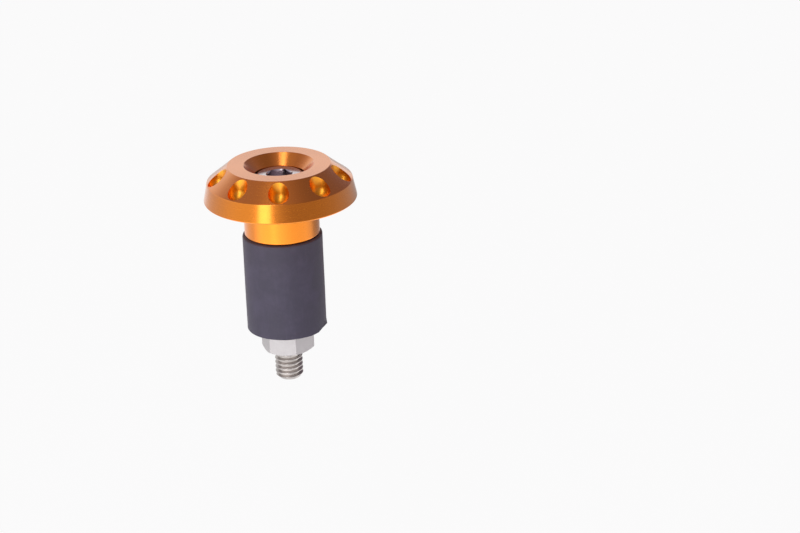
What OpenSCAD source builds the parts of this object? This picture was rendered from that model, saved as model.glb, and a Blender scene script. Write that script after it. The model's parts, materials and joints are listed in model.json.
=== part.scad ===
// Bar end weight: a turned head with a ring of dimples, held in a handlebar tube by a rubber sleeve
// that a screw and a nut squeeze. Millimetres. The origin is the centre of the rim's underside, which
// seats on the end of the tube, and +Z runs outward through the front face.

/* [Head] */
// Diameter of the rim at its lower edge
rim_d = 32.5; // [30:0.5:40]
// Diameter of the rim at its upper edge, where the sloping face starts
rim_top_d = 30.8; // [28:0.2:32]
// Height of the rim band
rim_h = 4; // [3:0.1:6]
// Height of the sloping face above the rim band
slope_h = 3.55; // [2.5:0.05:5]
// Outer diameter of the flat front ring
face_d = 21.8; // [19:0.2:24]
// Width of the broken edges of the rim and the neck
edge_break = 0.25; // [0.1:0.05:0.5]

/* [Front recess] */
// Diameter of the conical recess at the front face
recess_d = 14.9; // [13:0.1:17]
// Depth of the conical recess
recess_depth = 2.3; // [1:0.1:3.5]
// Gap round the screw's head in its counterbore
head_gap = 0.4; // [0.2:0.1:0.8]
// Height of the screw's head above the bottom of the conical recess
head_rise = 0.15; // [-0.5:0.05:0.5]

/* [Dimples] */
// Number of dimples round the sloping face
dimple_count = 9; // [5:1:11]
// Diameter of the round-nosed cutter, which plunges along the axis
dimple_d = 4.3; // [3:0.1:5]
// Diameter of the circle that the dimples stand on
dimple_ring_d = 26.6; // [22:0.1:30]
// Depth of the dimples' floor below the front face
dimple_depth = 4.65; // [3.5:0.05:5]
// Direction of the first dimple, counted from +X towards +Y
dimple_start = -89; // [-180:1:180]

/* [Neck] */
// Diameter of the neck
neck_d = 16; // [14:0.5:16.5]
// Length of the neck below the rim
neck_l = 8; // [5:0.5:12]

/* [Rubber sleeve] */
// Outer diameter of the sleeve
sleeve_d = 17; // [15:0.5:20]
// Length of the sleeve
sleeve_l = 21.2; // [15:0.1:24]
// Gap between the sleeve's bore and the screw
sleeve_gap = 0.5; // [0.2:0.1:1.5]

/* [Screw] */
// Outer diameter of the thread and the shank
thread_d = 5.95; // [5:0.05:6.5]
// Length of the screw below its head
screw_l = 40.5; // [38:0.5:50]
// Diameter of the screw's head
screw_head_d = 10; // [9:0.1:10.5]
// Height of the screw's head
screw_head_h = 6; // [5:0.1:7]
// Radius of the rounded edge of the screw's head
head_round = 0.55; // [0.2:0.05:1]
// Width of the hexagon socket across its flats
socket_af = 5; // [4:0.5:5.5]
// Depth of the hexagon socket
socket_depth = 3; // [2:0.1:3.5]
// Turn of the hexagon socket about the axis
socket_turn = 8; // [-30:1:30]
// Length of the chamfer at the screw's tip
tip_chamfer = 0.8; // [0.4:0.1:1.5]
// Gap between the screw and its hole through the neck
hole_gap = 0.25; // [0.1:0.05:0.5]

/* [Nut] */
// Width of the nut across its flats
nut_af = 10; // [9:0.5:13]
// Height of the nut
nut_h = 5.2; // [4:0.1:5.5]
// Angle of the chamfer on the nut's corners
nut_chamfer = 30; // [15:1:35]
// Turn of the nut about the axis
nut_turn = -11; // [-30:1:30]
// Running gap between the nut and the thread
nut_gap = 0.05; // [0.02:0.01:0.1]

/* [Hidden] */
$fn = 96;

rim_r = rim_d / 2;
rim_top_r = rim_top_d / 2;
face_r = face_d / 2;
recess_r = recess_d / 2;
dimple_r = dimple_d / 2;
neck_r = neck_d / 2;
thread_r = thread_d / 2;
screw_head_r = screw_head_d / 2;
pocket_r = screw_head_r + head_gap;
hole_r = thread_r + hole_gap;

// Heights along the axis, from the front face down to the screw's tip
face_z = rim_h + slope_h;
recess_z = face_z - recess_depth;
screw_top_z = recess_z + head_rise;
dimple_z = face_z - dimple_depth + dimple_r;
screw_seat_z = screw_top_z - screw_head_h;
neck_z = -neck_l;
sleeve_z = neck_z - sleeve_l;
nut_z = sleeve_z - nut_h;
screw_tip_z = screw_seat_z - screw_l;

// The sloping face leans back by this angle from a flat face
slope_angle = atan2(slope_h, rim_top_r - face_r);
// Taper of the rim band, from the lower edge break to the slope
band_lean = (rim_r - rim_top_r) / (rim_h - edge_break);

// Included angle of the drill point left below the hexagon socket
socket_point = 118;
// Chamfer at both mouths of the nut's bore
bore_chamfer = 0.4;
// Share of the nut's flats that its end faces keep inside the chamfer
nut_face_share = 0.96;
// Steps in the rounded edge of the screw's head
round_steps = 8;
// How far a cutter stands out of what it cuts
clear = 1;
// Overlap that leaves no skin between two cuts
skin = 0.01;

// Half section of the weight, from the neck's lower end round the outside and down the recess
module weight_section() {
    polygon([
        [hole_r, neck_z],
        [neck_r - edge_break, neck_z],
        [neck_r, neck_z + edge_break],
        [neck_r, 0],
        [rim_r - edge_break, 0],
        [rim_r, edge_break],
        [rim_top_r + band_lean * edge_break, rim_h - edge_break],
        [rim_top_r - edge_break * cos(slope_angle), rim_h + edge_break * sin(slope_angle)],
        [face_r, face_z],
        [recess_r, face_z],
        [pocket_r, recess_z],
        [pocket_r, screw_seat_z],
        [hole_r, screw_seat_z]
    ]);
}

// Round-nosed cutter, standing parallel to the weight's axis
module dimple_cutter() {
    translate([dimple_ring_d / 2, 0, dimple_z]) {
        sphere(r = dimple_r);
        cylinder(h = face_z - dimple_z + clear, r = dimple_r);
    }
}

module weight() {
    color("#e0851a")
        difference() {
            rotate_extrude() weight_section();
            for (i = [0 : dimple_count - 1])
                rotate([0, 0, dimple_start + i * 360 / dimple_count]) dimple_cutter();
        }
}

module rubber_sleeve() {
    color("#4d4c55")
        translate([0, 0, sleeve_z])
            difference() {
                cylinder(h = sleeve_l, d = sleeve_d);
                translate([0, 0, -clear]) cylinder(h = sleeve_l + 2 * clear, r = thread_r + sleeve_gap);
            }
}

// Half section of the screw: head with a rounded edge, shank and chamfered tip
module screw_section() {
    round_r = screw_head_r - head_round;
    round_z = screw_top_z - head_round;
    edge = [for (i = [0 : round_steps]) let (a = 90 - i * 90 / round_steps)
        [round_r + head_round * cos(a), round_z + head_round * sin(a)]];
    polygon(concat(
        [[0, screw_tip_z], [0, screw_top_z]],
        edge,
        [
            [screw_head_r, screw_seat_z],
            [thread_r, screw_seat_z],
            [thread_r, screw_tip_z + tip_chamfer],
            [thread_r - tip_chamfer, screw_tip_z]
        ]
    ));
}

// Hexagon socket with the drill point left at its bottom
module socket_cutter() {
    socket_z = screw_top_z - socket_depth;
    drill_r = socket_af / 2;
    point_h = drill_r / tan(socket_point / 2);
    translate([0, 0, socket_z])
        rotate([0, 0, socket_turn])
            cylinder(h = socket_depth + clear, d = socket_af / cos(30), $fn = 6);
    translate([0, 0, socket_z - point_h]) cylinder(h = point_h, r1 = 0, r2 = drill_r);
}

module socket_screw() {
    color("#b4b1ac")
        difference() {
            rotate_extrude() screw_section();
            socket_cutter();
        }
}

// Turned blank that chamfers the nut's corners at both ends
module nut_blank() {
    corner_r = nut_af / 2 / cos(30);
    flat_r = nut_af / 2 * nut_face_share;
    drop = (corner_r - flat_r) * tan(nut_chamfer);
    rotate_extrude()
        polygon([
            [0, 0], [flat_r, 0], [corner_r, drop],
            [corner_r, nut_h - drop], [flat_r, nut_h], [0, nut_h]
        ]);
}

module nut() {
    bore_r = thread_r + nut_gap;
    mouth_r = bore_r + bore_chamfer;
    color("#cfcdcb")
        translate([0, 0, nut_z])
            difference() {
                intersection() {
                    rotate([0, 0, nut_turn]) cylinder(h = nut_h, d = nut_af / cos(30), $fn = 6);
                    nut_blank();
                }
                translate([0, 0, -clear]) cylinder(h = nut_h + 2 * clear, r = bore_r);
                translate([0, 0, -skin]) cylinder(h = bore_chamfer, r1 = mouth_r, r2 = bore_r);
                translate([0, 0, nut_h - bore_chamfer + skin])
                    cylinder(h = bore_chamfer, r1 = bore_r, r2 = mouth_r);
            }
}

weight();
rubber_sleeve();
socket_screw();
nut();
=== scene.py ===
"""Bar end weight: the looks of its four pieces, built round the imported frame, with a plain studio."""

import json
import math

import bmesh
import bpy
from bpy.props import FloatProperty, FloatVectorProperty, IntProperty, PointerProperty
from mathutils import Matrix, Vector, noise


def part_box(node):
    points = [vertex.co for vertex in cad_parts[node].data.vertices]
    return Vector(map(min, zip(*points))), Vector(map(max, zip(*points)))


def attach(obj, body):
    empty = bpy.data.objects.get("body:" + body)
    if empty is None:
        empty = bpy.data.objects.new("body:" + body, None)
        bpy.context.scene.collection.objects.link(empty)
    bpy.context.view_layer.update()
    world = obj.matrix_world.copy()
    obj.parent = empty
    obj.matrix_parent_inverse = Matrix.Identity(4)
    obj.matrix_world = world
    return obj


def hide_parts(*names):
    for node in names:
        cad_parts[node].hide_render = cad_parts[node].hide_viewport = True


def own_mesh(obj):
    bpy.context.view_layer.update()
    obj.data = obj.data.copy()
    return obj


bl_info = {
    "name": "Bar end weight",
    "version": (1, 0, 0),
    "blender": (4, 5, 0),
    "location": "View3D > Sidebar > Bar end",
    "description": "Turned and anodised bar end weight with its rubber sleeve, socket screw and nut",
    "category": "Object",
}

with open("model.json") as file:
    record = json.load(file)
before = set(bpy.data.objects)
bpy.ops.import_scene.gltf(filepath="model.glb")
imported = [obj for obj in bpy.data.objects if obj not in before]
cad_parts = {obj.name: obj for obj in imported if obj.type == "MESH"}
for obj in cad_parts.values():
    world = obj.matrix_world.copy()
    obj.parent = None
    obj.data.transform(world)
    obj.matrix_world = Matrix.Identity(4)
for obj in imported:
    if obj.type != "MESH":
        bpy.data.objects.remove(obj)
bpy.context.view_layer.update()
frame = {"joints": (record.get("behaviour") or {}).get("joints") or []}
WEIGHT_LOW, WEIGHT_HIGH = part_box("weight")
SLEEVE_LOW, SLEEVE_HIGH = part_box("rubber_sleeve")
SCREW_LOW, SCREW_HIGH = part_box("socket_screw")
NUT_LOW, NUT_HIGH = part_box("nut")

MM = 0.001
FULL_TURN = 2 * math.pi
# Half the angle between a hexagon's corners
HEX_HALF = math.radians(30)
# Edges over this angle stay sharp under smooth shading
SHARP_ANGLE = math.radians(24)
# How far past an arc's ends its holding points stand, as a share of its radius
HOLD = 0.15
# Points closer than this are merged, and edges shorter than a sliver go
MERGE = 1e-7
SLIVER = 1e-8
# Heights that differ by less than this are level
LEVEL = 1e-6
# How far a cutter stands out of what it cuts
CLEAR = 1 * MM
# Steps round each turned form, and in a dimple cutter's quarter circle
WEIGHT_STEPS = 384
SLEEVE_STEPS = 192
SCREW_STEPS = 128
SOCKET_STEPS = 96
NUT_STEPS = 192
CUTTER_STEPS = 128
CUTTER_ARC_STEPS = 16
# Rows of faces along the sleeve, which let it waver
SLEEVE_ROWS = 40
# Share of the sleeve's length, at each end, where the cut edge strays
CUT_SHARE = 0.05
# How far the sleeve's moulded side swells and shrinks
SWELL = 0.045 * MM
# Nick and flared lip at the sleeve's lower end: direction and half width in degrees, height, and how
# steeply each fades upwards
NICK = (-17, 18, 2.5 * MM, 1)
LIP = (-6, 16, 1.6 * MM, 1.5)
# Depth of the drill point below the screw's socket, as a share of the drill's radius
DRILL_POINT = 0.6
# Share of the nut's flats that its end faces keep inside the chamfer
NUT_FACE_SHARE = 0.96


def size_prop(name, text, millimetres):
    """A length in metres, given as its size in millimetres."""
    default = millimetres * MM
    return FloatProperty(name=name, description=text, default=default, min=0, unit="LENGTH", precision=5)


def angle_prop(name, text, degrees):
    """An angle in radians, given in degrees."""
    return FloatProperty(name=name, description=text, default=math.radians(degrees), subtype="ANGLE")


def colour_prop(name, text, colour):
    """A linear colour."""
    return FloatVectorProperty(name=name, description=text, default=colour, subtype="COLOR", min=0, max=1)


class WeightSizes(bpy.types.PropertyGroup):
    """Sizes of the turned weight that the frame's boxes don't give."""

    rim_top_d: size_prop("Rim top", "Diameter of the rim at its upper edge", 30.8)
    rim_h: size_prop("Rim height", "Height of the rim band", 4.0)
    face_d: size_prop("Front ring", "Outer diameter of the flat front ring", 21.8)
    recess_d: size_prop("Recess", "Diameter of the conical recess at the front", 14.9)
    recess_depth: size_prop("Recess depth", "Depth of the conical recess", 2.3)
    pocket_d: size_prop("Counterbore", "Diameter of the counterbore for the screw's head", 10.8)
    neck_d: size_prop("Neck", "Diameter of the neck", 16.0)
    hole_d: size_prop("Hole", "Diameter of the screw's hole", 6.45)
    edge_break: size_prop("Edge break", "Radius of the broken edges", 0.22)
    crisp_edge: size_prop("Crisp edge", "Radius of the edges left nearly sharp", 0.07)
    dimple_count: IntProperty(name="Dimples", description="Number of dimples on the slope", default=9, min=3)
    dimple_d: size_prop("Dimple", "Diameter of the round-nosed cutter, which plunges along the axis", 4.3)
    dimple_ring_d: size_prop("Dimple ring", "Diameter of the circle that the dimples stand on", 26.6)
    dimple_depth: size_prop("Dimple depth", "Depth of the dimples' floor below the front face", 4.65)
    dimple_start: angle_prop("First dimple", "Direction of the first dimple from +X", -89)


class SleeveSizes(bpy.types.PropertyGroup):
    """Sizes of the rubber sleeve's cut ends."""

    bore_d: size_prop("Bore", "Diameter of the sleeve's bore", 6.95)
    edge_round: size_prop("Edge", "Radius of the cut edges", 0.18)
    waver: size_prop("Waver", "How far the cut edges stray", 0.09)
    lip: size_prop("Lip", "How far the lower edge flares on one side", 0.18)
    nick: size_prop("Nick", "How far a slip of the knife cuts into the lower edge", 0.5)


class ScrewSizes(bpy.types.PropertyGroup):
    """Sizes of the socket screw."""

    thread_d: size_prop("Thread", "Outer diameter of the thread", 5.95)
    pitch: size_prop("Pitch", "Pitch of the thread", 1.0)
    thread_l: size_prop("Thread length", "Length of the thread from the tip", 17.0)
    head_h: size_prop("Head", "Height of the head", 6.0)
    head_round: size_prop("Head edge", "Radius of the head's edge", 0.55)
    socket_af: size_prop("Socket", "Width of the hexagon socket across its flats", 5.0)
    socket_depth: size_prop("Socket depth", "Depth of the hexagon socket", 3.0)
    socket_mouth: size_prop("Socket mouth", "Diameter of the countersink at the socket's mouth", 5.6)
    socket_turn: angle_prop("Socket turn", "Turn of the socket about the axis", 8)
    tip_chamfer: size_prop("Tip chamfer", "Length of the chamfer at the tip", 0.8)


class NutSizes(bpy.types.PropertyGroup):
    """Sizes of the nut."""

    across_flats: size_prop("Across flats", "Width of the nut across its flats", 10.0)
    bore_d: size_prop("Bore", "Diameter of the threaded bore", 6.05)
    mouth: size_prop("Bore mouth", "Chamfer at the bore's mouths", 0.4)
    chamfer: angle_prop("Chamfer", "Angle of the chamfer on the corners", 30)
    turn: angle_prop("Turn", "Turn of the nut about the axis", -11)
    edge_round: size_prop("Edge", "Radius of the nut's worn-in edges", 0.05)


class FinishColours(bpy.types.PropertyGroup):
    """Colours of the finishes."""

    anodised: colour_prop("Anodised", "Orange gold of the anodised weight", (0.84, 0.255, 0.024))
    # Painted light: the dimples' orange gold is lighter and yellower than the body's, to offset the shade
    # and reddening inside their hollows
    cups_painted_light: colour_prop("Dimples", "Slightly brighter orange gold of the dimples", (0.88, 0.36, 0.028))
    rubber: colour_prop("Rubber", "Dark rubber of the sleeve", (0.082, 0.074, 0.112))
    head_steel: colour_prop("Head steel", "Polished steel of the screw's head", (0.74, 0.69, 0.71))
    thread_steel: colour_prop("Thread steel", "Plain steel of the thread", (0.52, 0.48, 0.46))
    nut_steel: colour_prop("Nut steel", "Bright plating of the nut", (0.63, 0.605, 0.61))


def rounded(corners, steps=4):
    """Turns a closed outline of (x, z, radius) corners into points, with an arc at each rounded corner.

    A holding point on each side of an arc keeps the shading of the straight parts straight.
    """
    points = []
    for i, (x, z, radius) in enumerate(corners):
        here = Vector((x, z))
        if radius == 0:
            points.append(here)
            continue
        back = (Vector(corners[i - 1][:2]) - here).normalized()
        ahead = (Vector(corners[(i + 1) % len(corners)][:2]) - here).normalized()
        half = back.angle(ahead) / 2
        centre = here + (back + ahead).normalized() * radius / math.sin(half)
        first = here + back * radius / math.tan(half) - centre
        last = here + ahead * radius / math.tan(half) - centre
        points.append(centre + first + back * radius * HOLD)
        for k in range(steps + 1):
            points.append(centre + first.slerp(last, k / steps, first).normalized() * radius)
        points.append(centre + last + ahead * radius * HOLD)
    return points


def turned(corners, steps):
    """A solid of revolution about Z from a closed outline of (radius, height, edge radius) corners."""
    bm = bmesh.new()
    ring = [bm.verts.new((p.x, 0, p.y)) for p in rounded(corners)]
    edges = [bm.edges.new((ring[i - 1], ring[i])) for i in range(len(ring))]
    bmesh.ops.spin(
        bm,
        geom=ring + edges,
        cent=(0, 0, 0),
        axis=(0, 0, 1),
        angle=FULL_TURN,
        steps=steps,
        use_merge=True,
    )
    bmesh.ops.remove_doubles(bm, verts=bm.verts, dist=MERGE)
    bmesh.ops.dissolve_degenerate(bm, edges=bm.edges, dist=SLIVER)
    bmesh.ops.recalc_face_normals(bm, faces=bm.faces)
    return bm


def hexagon(across_flats, low, high, turn):
    """A hexagonal prism about Z, with a corner at the angle turn from +X."""
    bm = bmesh.new()
    radius = across_flats / 2 / math.cos(HEX_HALF)
    # The cone's own first corner lies along +Y
    place = Matrix.Translation((0, 0, (low + high) / 2)) @ Matrix.Rotation(turn - math.pi / 2, 4, "Z")
    bmesh.ops.create_cone(
        bm, cap_ends=True, segments=6, radius1=radius, radius2=radius, depth=high - low, matrix=place
    )
    return bm


def new_object(name, bm, materials):
    """An object from a bmesh, at the origin, with its materials."""
    mesh = bpy.data.meshes.new(name)
    bm.to_mesh(mesh)
    bm.free()
    for material in materials:
        mesh.materials.append(material)
    obj = bpy.data.objects.new(name, mesh)
    bpy.context.scene.collection.objects.link(obj)
    return obj


def cut(obj, tool, operation="DIFFERENCE"):
    """Cuts obj with the bmesh tool, or keeps what they share, and leaves a plain mesh."""
    other = new_object(obj.name + "_tool", tool, list(obj.data.materials))
    modifier = obj.modifiers.new("cut", "BOOLEAN")
    modifier.object = other
    modifier.operation = operation
    modifier.solver = "EXACT"
    bpy.context.view_layer.update()
    made = bpy.data.meshes.new_from_object(obj.evaluated_get(bpy.context.evaluated_depsgraph_get()))
    obj.modifiers.clear()
    obj.data = made
    bpy.data.objects.remove(other)
    if len(made.polygons) == 0:
        raise RuntimeError(f"the cut left nothing of {obj.name}")


def smooth(obj, angle=SHARP_ANGLE):
    """Shades a mesh smooth, with its edges over an angle kept sharp."""
    bm = bmesh.new()
    bm.from_mesh(obj.data)
    for face in bm.faces:
        face.smooth = True
    for edge in bm.edges:
        edge.smooth = edge.calc_face_angle(0) < angle
    bm.to_mesh(obj.data)
    bm.free()


def settle(obj, body, node):
    """Puts a finished piece on its body, in place of its CAD node."""
    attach(obj, body)
    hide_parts(node)


class Socket:
    """A shader socket that takes plain arithmetic, adding a Math node for each step."""

    def __init__(self, finish, socket):
        self.finish = finish
        self.socket = socket

    def math(self, operation, *values):
        return self.finish.node("ShaderNodeMath", {"operation": operation}, list(values))[0]

    def __add__(self, other):
        return self.math("ADD", self, other)

    def __sub__(self, other):
        return self.math("SUBTRACT", self, other)

    def __rsub__(self, other):
        return self.math("SUBTRACT", other, self)

    def __mul__(self, other):
        return self.math("MULTIPLY", self, other)

    def __pow__(self, other):
        return self.math("POWER", self, other)

    __radd__ = __add__
    __rmul__ = __mul__

    def step(self, low, high):
        """0 below low and 1 above high, with a smooth rise between."""
        settings = {"interpolation_type": "SMOOTHSTEP"}
        values = {"Value": self, "From Min": low, "From Max": high}
        return self.finish.node("ShaderNodeMapRange", settings, values)[0]


class Finish:
    """A node tree under construction, for a material or the world."""

    def __init__(self, tree, output_kind):
        self.tree = tree
        tree.nodes.clear()
        self.output = tree.nodes.new(output_kind)

    def node(self, kind, settings=None, inputs=None):
        """Adds a node, with its settings first, and returns its outputs as sockets.

        A list gives the inputs in order, and a dict by name or place.
        """
        made = self.tree.nodes.new(kind)
        for key, value in (settings or {}).items():
            setattr(made, key, value)
        pairs = enumerate(inputs) if isinstance(inputs, list) else (inputs or {}).items()
        for key, value in pairs:
            if isinstance(value, Socket):
                self.tree.links.new(value.socket, made.inputs[key])
            elif isinstance(value, tuple) and made.inputs[key].type == "RGBA":
                made.inputs[key].default_value = (*value, 1)
            else:
                made.inputs[key].default_value = value
        return [Socket(self, out) for out in made.outputs]

    def mix(self, factor, first, second):
        """A colour between first and second, through a Mix node's colour sockets."""
        return self.node("ShaderNodeMix", {"data_type": "RGBA"}, {0: factor, 6: first, 7: second})[2]

    def noise(self, vector, scale, detail=2.0, roughness=0.5):
        """Noise from 0 to 1 at a number of waves a metre."""
        values = {"Vector": vector, "Scale": scale, "Detail": detail, "Roughness": roughness}
        return self.node("ShaderNodeTexNoise", {"noise_dimensions": "3D"}, values)[0]

    def place(self):
        """Object coordinates and their x, y and z."""
        vector = self.node("ShaderNodeTexCoord")[3]
        return vector, *self.node("ShaderNodeSeparateXYZ", {}, {"Vector": vector})

    def vector(self, x, y, z):
        return self.node("ShaderNodeCombineXYZ", {}, [x, y, z])[0]

    def close(self, shader):
        self.tree.links.new(shader.socket, self.output.inputs["Surface"])


def new_finish(name):
    """A material and its node tree, ready to fill."""
    material = bpy.data.materials.new(name)
    material.use_nodes = True
    return material, Finish(material.node_tree, "ShaderNodeOutputMaterial")


def scaled(colour, share):
    """A colour made darker or lighter."""
    return tuple(min(1, c * share) for c in colour)


def bumped(finish, height, distance):
    """A normal bent by a height from 0 to 1 over a real distance."""
    return finish.node("ShaderNodeBump", {}, {"Strength": 1.0, "Distance": distance, "Height": height})[0]


def anodised_finish(colour, name, grooves, roughness, anisotropy, film):
    """Turned and anodised aluminium: fine rings round the axis under a clear oxide film.

    The film shows more on the head than on the neck, most above the rim band, and more at a glancing
    angle. The share film scales it, and grooves is the depth of the rings.
    """
    material, fin = new_finish(name)
    place, x, y, z = fin.place()
    radius = (x * x + y * y) ** 0.5
    rings = fin.noise(fin.vector(radius, 0.0, z), 9000, detail=3.0, roughness=0.6)
    bands = fin.noise(fin.vector(radius, 0.0, z), 1500)
    dye = fin.noise(place, 120, detail=3.0)
    specks = fin.noise(place, 2600, detail=1.0)
    tone = fin.mix(dye, scaled(colour, 0.94), scaled(colour, 1.05))
    facing = fin.node("ShaderNodeLayerWeight", {}, {"Blend": 0.5})[1]
    head = z.step(-0.5 * MM, 0.5 * MM)
    upper = z.step(3.6 * MM, 4.3 * MM)
    facing_film = head * 0.06 + upper * 0.28 + 0.09
    glancing_film = facing.step(0.1, 0.5) * (head * 0.27 + 0.30)
    grain = (rings - 0.5) * 0.10 + (specks - 0.5) * 0.08
    shader = fin.node(
        "ShaderNodeBsdfPrincipled",
        {},
        {
            "Base Color": tone,
            "Metallic": 1.0,
            "Roughness": grain + roughness + (bands - 0.5) * 0.05,
            "Anisotropic": anisotropy,
            "Anisotropic Rotation": 0.25,
            "Coat Weight": (facing_film + glancing_film) * film,
            "Coat Roughness": 0.16,
            "Coat IOR": 1.7,
            "Normal": bumped(fin, rings * 0.7 + bands * 0.3, grooves),
        },
    )[0]
    fin.close(shader)
    return material


def rubber_finish(colour):
    """Matt rubber: fine grain, pale bloom and a few rubbed marks."""
    material, fin = new_finish("sleeve_rubber")
    place, x, y, z = fin.place()
    grain = fin.noise(place, 5200, detail=4.0, roughness=0.65)
    bloom = fin.noise(place, 230, detail=4.0, roughness=0.6)
    streaks = fin.noise(fin.vector(x * 2.2, y * 2.2, z * 0.18), 900, detail=3.0, roughness=0.55)
    cloud = bloom.step(0.35, 0.75)
    rubbed = streaks.step(0.52, 0.78) * 0.12
    tone = fin.mix(cloud, scaled(colour, 0.86), scaled(colour, 1.22))
    tone = fin.mix(rubbed, tone, scaled(colour, 1.7))
    height = grain * 0.6 + bloom * 0.25 + streaks * 0.15
    shader = fin.node(
        "ShaderNodeBsdfPrincipled",
        {},
        {
            "Base Color": tone,
            "Roughness": 0.62 + (grain - 0.5) * 0.2 + cloud * 0.08,
            "Sheen Weight": 0.18,
            "Sheen Roughness": 0.3,
            "Normal": bumped(fin, height, 0.05 * MM),
        },
    )[0]
    fin.close(shader)
    return material


def steel_finish(name, colour, roughness, wear, distance):
    """Plain or plated steel with fine marks and slightly uneven gloss.

    The share wear darkens its duller patches, and distance is the depth of the marks.
    """
    material, fin = new_finish(name)
    place, x, y, z = fin.place()
    marks = fin.noise(fin.vector(x, y, z * 3.0), 3800, detail=4.0, roughness=0.6)
    film = fin.noise(place, 500, detail=3.0)
    tone = fin.mix(film.step(0.3, 0.7), scaled(colour, 1 - wear), colour)
    shader = fin.node(
        "ShaderNodeBsdfPrincipled",
        {},
        {
            "Base Color": tone,
            "Metallic": 1.0,
            "Roughness": ((marks - 0.5) * 0.6 + (film - 0.5) * 0.3 + 1.0) * roughness,
            "Normal": bumped(fin, marks, distance),
        },
    )[0]
    fin.close(shader)
    return material


class BARWEIGHT_OT_weight(bpy.types.Operator):
    """Makes the turned weight with its ring of dimples"""

    bl_idname = "barweight.weight"
    bl_label = "Turned weight"

    def execute(self, context):
        sizes = context.scene.bar_weight
        colours = context.scene.bar_finish
        materials = [
            anodised_finish(
                tuple(colours.anodised),
                "anodised_turned",
                grooves=0.0015 * MM,
                roughness=0.25,
                anisotropy=0.55,
                film=1.0,
            ),
            # The dimples' lighter, yellower colour is painted light against the shade inside their hollows
            anodised_finish(
                tuple(colours.cups_painted_light),
                "anodised_dimple_painted_light",
                grooves=0.001 * MM,
                roughness=0.36,
                anisotropy=0.0,
                film=0.3,
            ),
        ]
        rim_r, rim_top_r = WEIGHT_HIGH.x, sizes.rim_top_d / 2
        face_r, face_z = sizes.face_d / 2, WEIGHT_HIGH.z
        recess_z = face_z - sizes.recess_depth
        neck_r, pocket_r, hole_r = sizes.neck_d / 2, sizes.pocket_d / 2, sizes.hole_d / 2
        soft, crisp = sizes.edge_break, sizes.crisp_edge
        neck_end = soft * 2.3
        seat = SCREW_HIGH.z - context.scene.bar_screw.head_h
        corners = [
            (hole_r, WEIGHT_LOW.z, soft),
            (neck_r, WEIGHT_LOW.z, neck_end),
            (neck_r, 0, soft),
            (rim_r, 0, soft),
            (rim_top_r, sizes.rim_h, soft),
            (face_r, face_z, crisp),
            (sizes.recess_d / 2, face_z, crisp),
            (pocket_r, recess_z, crisp),
            (pocket_r, seat, crisp),
            (hole_r, seat, crisp),
        ]
        obj = new_object("turned_weight", turned(corners, WEIGHT_STEPS), materials)
        cutters = bmesh.new()
        for i in range(sizes.dimple_count):
            angle = sizes.dimple_start + i * FULL_TURN / sizes.dimple_count
            self.add_cutter(cutters, sizes, face_z, angle)
        cut(obj, cutters)
        smooth(obj)
        settle(obj, "weight", "weight")
        return {"FINISHED"}

    def add_cutter(self, cutters, sizes, face_z, angle):
        """Adds one round-nosed cutter to cutters, standing parallel to the axis."""
        radius = sizes.dimple_d / 2
        floor = face_z - sizes.dimple_depth
        quarter = [i * math.pi / 2 / CUTTER_ARC_STEPS for i in range(CUTTER_ARC_STEPS + 1)]
        corners = [(radius * math.sin(a), floor + radius - radius * math.cos(a), 0) for a in quarter]
        corners += [(radius, face_z + CLEAR, 0), (0, face_z + CLEAR, 0)]
        bm = turned(corners, CUTTER_STEPS)
        for face in bm.faces:
            face.material_index = 1
        place = Matrix.Rotation(angle, 4, "Z") @ Matrix.Translation((sizes.dimple_ring_d / 2, 0, 0))
        bmesh.ops.transform(bm, matrix=place, verts=bm.verts)
        mesh = bpy.data.meshes.new("cutter")
        bm.to_mesh(mesh)
        bm.free()
        cutters.from_mesh(mesh)
        bpy.data.meshes.remove(mesh)


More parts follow.
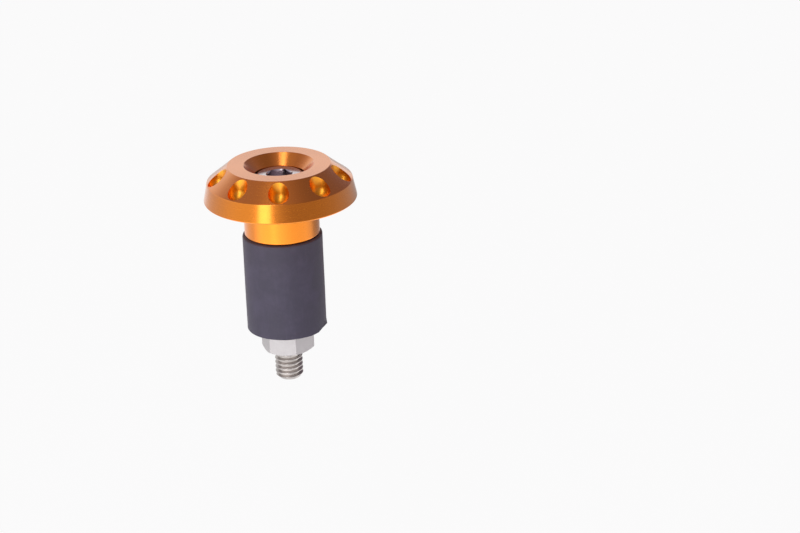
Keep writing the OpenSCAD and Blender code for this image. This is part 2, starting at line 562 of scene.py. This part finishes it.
class BARWEIGHT_OT_sleeve(bpy.types.Operator):
    """Makes the rubber sleeve with its raw cut ends"""

    bl_idname = "barweight.sleeve"
    bl_label = "Rubber sleeve"

    def execute(self, context):
        sizes = context.scene.bar_sleeve
        outer, bore = SLEEVE_HIGH.x, sizes.bore_d / 2
        low, high = SLEEVE_LOW.z, SLEEVE_HIGH.z
        upper_round = sizes.edge_round * 1.6
        corners = [
            (bore, low, sizes.edge_round),
            (outer, low, sizes.edge_round),
            (outer, high, upper_round),
            (bore, high, sizes.edge_round),
        ]
        bm = turned(corners, SLEEVE_STEPS)
        for i in range(1, SLEEVE_ROWS):
            height = low + (high - low) * i / SLEEVE_ROWS
            everything = bm.verts[:] + bm.edges[:] + bm.faces[:]
            bmesh.ops.bisect_plane(bm, geom=everything, plane_co=(0, 0, height), plane_no=(0, 0, 1))
        for vert in bm.verts:
            vert.co = self.cut_by_hand(vert.co.copy(), sizes, outer, low, high)
        bmesh.ops.recalc_face_normals(bm, faces=bm.faces)
        obj = new_object("rubber_tube", bm, [rubber_finish(tuple(context.scene.bar_finish.rubber))])
        smooth(obj, math.radians(40))
        settle(obj, "weight", "rubber_sleeve")
        travel = next(joint["range_m"][1] for joint in frame["joints"] if joint["name"] == "nut_draw")
        1 - travel / (high - low)
        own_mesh(obj)
        return {"FINISHED"}

    def cut_by_hand(self, point, sizes, outer, low, high):
        """Moves a point of the plain tube to where the moulded and hand-cut rubber has it."""
        radius = math.hypot(point.x, point.y)
        # The bore stays as it is
        if radius < outer * 0.9:
            return point
        angle = math.atan2(point.y, point.x)
        around = Vector((math.cos(angle), math.sin(angle), 0))
        end = min(point.z - low, high - point.z) / (high - low)
        near_end = max(0.0, 1 - end / CUT_SHARE) ** 2
        swell = noise.noise(around * 1.3 + Vector((0, 0, point.z * 90))) * SWELL
        # Each end strays in its own way
        seed = 7 if point.z > (low + high) / 2 else 3
        stray = noise.noise(around * 5.5 + Vector((0, 0, seed)))
        nick = self.strength(NICK, angle, point.z - low)
        lip = self.strength(LIP, angle, point.z - low)
        grown = radius + swell + near_end * stray * sizes.waver * 0.8 + lip * sizes.lip
        return Vector((around.x * grown, around.y * grown, point.z + nick * sizes.nick))

    def strength(self, mark, angle, above):
        """How strong a mark at the lower end is in one direction and height, from 0 to 1."""
        centre, half_width, height, steepness = mark
        across = max(0.0, 1 - ((math.degrees(angle) - centre) / half_width) ** 2)
        return across * max(0.0, 1 - above / height) ** steepness


class BARWEIGHT_OT_screw(bpy.types.Operator):
    """Makes the socket screw with its cut thread"""

    bl_idname = "barweight.screw"
    bl_label = "Socket screw"

    def execute(self, context):
        sizes = context.scene.bar_screw
        colours = context.scene.bar_finish
        materials = [
            steel_finish(
                "screw_head_steel",
                tuple(colours.head_steel),
                roughness=0.13,
                wear=0.12,
                distance=0.0003 * MM,
            ),
            steel_finish(
                "thread_steel",
                tuple(colours.thread_steel),
                roughness=0.25,
                wear=0.25,
                distance=0.004 * MM,
            ),
        ]
        head_r, top, tip = SCREW_HIGH.x, SCREW_HIGH.z, SCREW_LOW.z
        seat = top - sizes.head_h
        thread_r = sizes.thread_d / 2
        corners = [
            (0, tip, 0),
            (thread_r - sizes.tip_chamfer, tip, 0.06 * MM),
            (thread_r, tip + sizes.tip_chamfer, 0.05 * MM),
            (thread_r, seat, 0.1 * MM),
            (head_r, seat, 0.15 * MM),
            (head_r, top, sizes.head_round),
            (0, top, 0),
        ]
        obj = new_object("cap_screw", turned(corners, SCREW_STEPS), materials)
        cut(obj, self.socket_tool(sizes, top))
        cut(obj, self.groove_tool(sizes, thread_r, tip))
        for face in obj.data.polygons:
            face.material_index = 1 if face.center.z < seat - LEVEL else 0
        smooth(obj, math.radians(30))
        settle(obj, "screw", "socket_screw")
        return {"FINISHED"}

    def socket_tool(self, sizes, top):
        """The hexagon, the drill point below it and the countersink at its mouth, as one form."""
        floor = top - sizes.socket_depth
        above = top + CLEAR
        drill_r = sizes.socket_af / 2
        mouth_r = sizes.socket_mouth / 2
        past = 0.05 * MM
        # The drill point stays a hair inside the hexagon, so that no two faces lie in one plane
        point = [
            (0, floor - drill_r * DRILL_POINT, 0),
            (drill_r * 0.995, floor + 0.001 * MM, 0),
            (0, floor + 0.3 * MM, 0),
        ]
        countersink = [
            (0, top - mouth_r, 0),
            (mouth_r + past, top + past, 0),
            (mouth_r + past, above, 0),
            (0, above, 0),
        ]
        tool = new_object("socket_form", hexagon(sizes.socket_af, floor, above, sizes.socket_turn), [])
        for corners in (point, countersink):
            cut(tool, turned(corners, SOCKET_STEPS), "UNION")
        bm = bmesh.new()
        bm.from_mesh(tool.data)
        bpy.data.objects.remove(tool)
        return bm

    def groove_tool(self, sizes, thread_r, tip):
        """A V groove wound along the thread, as one closed ribbon."""
        pitch = sizes.pitch
        steps = 60
        crest_steps = 4
        turns = round(sizes.thread_l / pitch) + 2
        root_half = 0.08 * pitch
        depth = 0.54 * pitch
        crest_r = 0.10 * pitch
        start = tip - 1.5 * pitch
        flank = math.radians(30)
        past = 0.05 * pitch
        # The crest's arc leaves the flank at its tangent and ends level with the outer diameter
        arc_x = thread_r - crest_r
        arc_half = root_half + (depth - crest_r + crest_r * math.sin(flank)) * math.tan(flank)
        arc_half += crest_r * math.cos(flank)
        side = [(thread_r - depth, root_half)]
        for i in range(crest_steps + 1):
            a = flank + (math.pi / 2 - flank) * i / crest_steps
            side.append((arc_x + crest_r * math.sin(a), arc_half - crest_r * math.cos(a)))
        side.append((thread_r + past, arc_half))
        bm = bmesh.new()
        section = [(x, start - z) for x, z in side] + [(x, start + z) for x, z in reversed(side)]
        ring = [bm.verts.new((x, 0, z)) for x, z in section]
        edges = [bm.edges.new((ring[i - 1], ring[i])) for i in range(len(ring))]
        made = bmesh.ops.spin(
            bm,
            geom=ring + edges,
            cent=(0, 0, 0),
            axis=(0, 0, 1),
            dvec=(0, 0, pitch / steps),
            angle=FULL_TURN * turns,
            steps=steps * turns,
        )
        last = [item for item in made["geom_last"] if isinstance(item, bmesh.types.BMEdge)]
        for rim in (edges, last):
            bmesh.ops.edgeloop_fill(bm, edges=rim)
        bmesh.ops.recalc_face_normals(bm, faces=bm.faces)
        return bm


class BARWEIGHT_OT_nut(bpy.types.Operator):
    """Makes the hexagon nut with its chamfered corners"""

    bl_idname = "barweight.nut"
    bl_label = "Nut"

    def execute(self, context):
        sizes = context.scene.bar_nut
        low, high = NUT_LOW.z, NUT_HIGH.z
        flat_r = sizes.across_flats / 2
        face_r = flat_r * NUT_FACE_SHARE
        # The turned blank reaches a little past the hexagon's corners
        far = flat_r / math.cos(HEX_HALF) + 0.2 * MM
        drop = (far - face_r) * math.tan(sizes.chamfer)
        bore_r = sizes.bore_d / 2
        mouth_r = bore_r + sizes.mouth
        corners = [
            (bore_r, low + sizes.mouth, 0.03 * MM),
            (mouth_r, low, 0.05 * MM),
            (face_r, low, 0.08 * MM),
            (far, low + drop, 0),
            (far, high - drop, 0),
            (face_r, high, 0.08 * MM),
            (mouth_r, high, 0.05 * MM),
            (bore_r, high - sizes.mouth, 0.03 * MM),
        ]
        colour = tuple(context.scene.bar_finish.nut_steel)
        materials = [steel_finish("nut_steel", colour, roughness=0.68, wear=0.06, distance=0.004 * MM)]
        obj = new_object("hexagon_nut", turned(corners, NUT_STEPS), materials)
        prism = hexagon(sizes.across_flats, low - CLEAR, high + CLEAR, sizes.turn)
        upright = [e for e in prism.edges if abs(e.verts[0].co.z - e.verts[1].co.z) > LEVEL]
        bmesh.ops.bevel(
            prism,
            geom=upright,
            offset=sizes.edge_round,
            affect="EDGES",
            segments=3,
            profile=0.5,
            material=-1,
        )
        cut(obj, prism, "INTERSECT")
        smooth(obj)
        settle(obj, "nut", "nut")
        return {"FINISHED"}


CAMERA_ELEVATION = math.radians(21.73)
CAMERA_ROLL = math.radians(-2.02)
# Place of the frame's origin as the camera sees it, in millimetres: right, down and away
ORIGIN_IN_VIEW = (-25.206, -14.573, 573.376)
# Focal length in pixels of an image this wide
FOCAL_PIXELS = 2717.5
IMAGE_WIDTH = 800
# Width of the camera's sensor, in millimetres
SENSOR = 36.0
# How far the table is below the screw's tip, and half its width
FLOOR_DROP = 60 * MM
FLOOR_HALF = 3.0
# How much of the table the camera sees as plain white
FLOOR_WHITE = 0.93
WHITE = (1.0, 1.0, 1.0)


class BARWEIGHT_OT_stage(bpy.types.Operator):
    """Makes the pale floor, the soft studio light and the camera"""

    bl_idname = "barweight.stage"
    bl_label = "Studio"

    def execute(self, context):
        scene = context.scene
        scene.view_settings.view_transform = "Standard"
        self.camera(scene)
        self.floor()
        self.world(scene)
        self.lamps(scene)
        return {"FINISHED"}

    def camera(self, scene):
        """The photograph's viewpoint: looking along +Y, from above, turned by a small roll."""
        e, r = CAMERA_ELEVATION, CAMERA_ROLL
        right = Vector((math.cos(r), math.sin(e) * math.sin(r), math.cos(e) * math.sin(r)))
        down = Vector((math.sin(r), -math.sin(e) * math.cos(r), -math.cos(e) * math.cos(r)))
        away = Vector((0, math.cos(e), -math.sin(e)))
        x, y, z = (v * MM for v in ORIGIN_IN_VIEW)
        turn = Matrix((right, -down, -away)).transposed().to_4x4()
        data = bpy.data.cameras.new("camera")
        data.sensor_width = SENSOR
        data.lens = FOCAL_PIXELS * SENSOR / IMAGE_WIDTH
        data.clip_start = 0.01
        data.clip_end = 50
        camera = bpy.data.objects.new("camera", data)
        camera.matrix_world = Matrix.Translation(-(right * x + down * y + away * z)) @ turn
        scene.collection.objects.link(camera)
        scene.camera = camera

    def floor(self):
        """A pale table well below the part, which lights it from underneath.

        Reflections alone see it as a painted glow in place of its lit colour: brightest close to the part,
        in front and to the left, with a bright patch beside it on the right and a dimmer corner behind that.
        """
        bm = bmesh.new()
        place = Matrix.Translation((0, 0, SCREW_LOW.z - FLOOR_DROP))
        bmesh.ops.create_grid(bm, x_segments=1, y_segments=1, size=FLOOR_HALF, matrix=place)
        material, fin = new_finish("pale_table")
        rays = fin.node("ShaderNodeLightPath")
        seen, reflected = rays[0], rays[3]
        matt = fin.node("ShaderNodeBsdfDiffuse", {}, {"Color": (0.82, 0.82, 0.82)})[0]
        white = fin.node("ShaderNodeEmission", {}, {"Color": WHITE, "Strength": 1.0})[0]
        x, y = fin.place()[1:3]
        away = (x * x + y * y) ** 0.5
        left = 1 - x.step(-0.12, 0.22)
        front = 1 - y.step(-0.15, 0.05)
        near = 1 - away.step(0.26, 0.60)
        far_corner = x.step(0.0, 0.14) * y.step(0.03, 0.12)
        beside = x.step(0.03, 0.10) * y.step(-0.08, -0.01) * (1 - away.step(0.17, 0.24))
        # Strength of the table's painted glow, which only reflections see
        glow_strength = 0.50 + beside * 1.1 + left * 0.15
        glow_strength = glow_strength + near * (0.36 + front * (0.55 + left * 0.70) - far_corner * 0.56)
        painted_glow = fin.node("ShaderNodeEmission", {}, {"Color": WHITE, "Strength": glow_strength})[0]
        lit = fin.node("ShaderNodeMixShader", {}, [reflected, matt, painted_glow])[0]
        fin.close(fin.node("ShaderNodeMixShader", {}, [seen * FLOOR_WHITE, lit, white])[0])
        new_object("table", bm, [material])

    def world(self, scene):
        """A pale tent, brightest low on the left and straight behind, greyer to the right and overhead."""
        world = bpy.data.worlds.new("studio")
        world.use_nodes = True
        scene.world = world
        fin = Finish(world.node_tree, "ShaderNodeOutputWorld")
        direction = fin.node("ShaderNodeTexCoord")[0]
        x, y, z = fin.node("ShaderNodeSeparateXYZ", {}, {"Vector": direction})
        low = 1.00 - x.step(-0.60, 0.36) * 0.65
        high = 0.40 - x.step(0.0, 0.5) * 0.18
        tent = low + (high - low) * z.step(0.36, 0.84)
        tent = tent * (1 - y.step(0.2, 0.7) * (0.12 + x.step(0.0, 0.4) * 0.20))
        tent = tent * (1 - (1 - x.step(-0.76, -0.60)) * z.step(0.26, 0.48) * 0.42)
        tent = tent + (0.94 - tent) * y.step(0.84, 0.93)
        seen = fin.node("ShaderNodeLightPath")[0]
        level = tent * (1 - seen) + seen
        colour = fin.mix(level.step(0.30, 0.85), (1.0, 0.84, 1.0), WHITE)
        fin.close(fin.node("ShaderNodeBackground", {}, {"Color": colour, "Strength": level})[0])

    def lamps(self, scene):
        """Upright soft boxes in front of the part, a little to the left."""
        # Name, azimuth from the camera in degrees, distance, width, foot, top and radiance
        boxes = [
            ("key_strip", -22, 0.50, 0.16, -0.10, 0.92, 2.7),
            ("high_strip", -21, 0.52, 0.40, 0.72, 1.40, 1.4),
        ]
        for name, azimuth, distance, width, foot, top, radiance in boxes:
            a = math.radians(azimuth)
            aim = Vector((math.sin(a), -math.cos(a), 0))
            data = bpy.data.lights.new(name, "AREA")
            data.shape = "RECTANGLE"
            data.size = width
            data.size_y = top - foot
            data.energy = radiance * math.pi * data.size * data.size_y
            lamp = bpy.data.objects.new(name, data)
            place = aim * distance + Vector((0, 0, (foot + top) / 2))
            lamp.matrix_world = Matrix.Translation(place) @ aim.to_track_quat("Z", "Y").to_matrix().to_4x4()
            lamp.visible_camera = False
            scene.collection.objects.link(lamp)


class BARWEIGHT_PT_panel(bpy.types.Panel):
    """Lists the sizes, the colours and the steps"""

    bl_idname = "BARWEIGHT_PT_panel"
    bl_label = "Bar end weight"
    bl_space_type = "VIEW_3D"
    bl_region_type = "UI"
    bl_category = "Bar end"

    def draw(self, context):
        for name, group in GROUPS.items():
            box = self.layout.box()
            for key in group.__annotations__:
                box.prop(getattr(context.scene, name), key)
        for step in STEPS:
            self.layout.operator(step.bl_idname)


GROUPS = {
    "bar_weight": WeightSizes,
    "bar_sleeve": SleeveSizes,
    "bar_screw": ScrewSizes,
    "bar_nut": NutSizes,
    "bar_finish": FinishColours,
}
STEPS = [
    BARWEIGHT_OT_weight,
    BARWEIGHT_OT_sleeve,
    BARWEIGHT_OT_screw,
    BARWEIGHT_OT_nut,
    BARWEIGHT_OT_stage,
]


def register():
    for made in [*GROUPS.values(), *STEPS, BARWEIGHT_PT_panel]:
        bpy.utils.register_class(made)
    for name, group in GROUPS.items():
        setattr(bpy.types.Scene, name, PointerProperty(type=group))


def unregister():
    for name in GROUPS:
        delattr(bpy.types.Scene, name)
    for made in [BARWEIGHT_PT_panel, *reversed(STEPS), *reversed(GROUPS.values())]:
        bpy.utils.unregister_class(made)


def main():
    register()
    for step in STEPS:
        area, name = step.bl_idname.split(".")
        getattr(getattr(bpy.ops, area), name)()


if __name__ == "__main__":
    main()
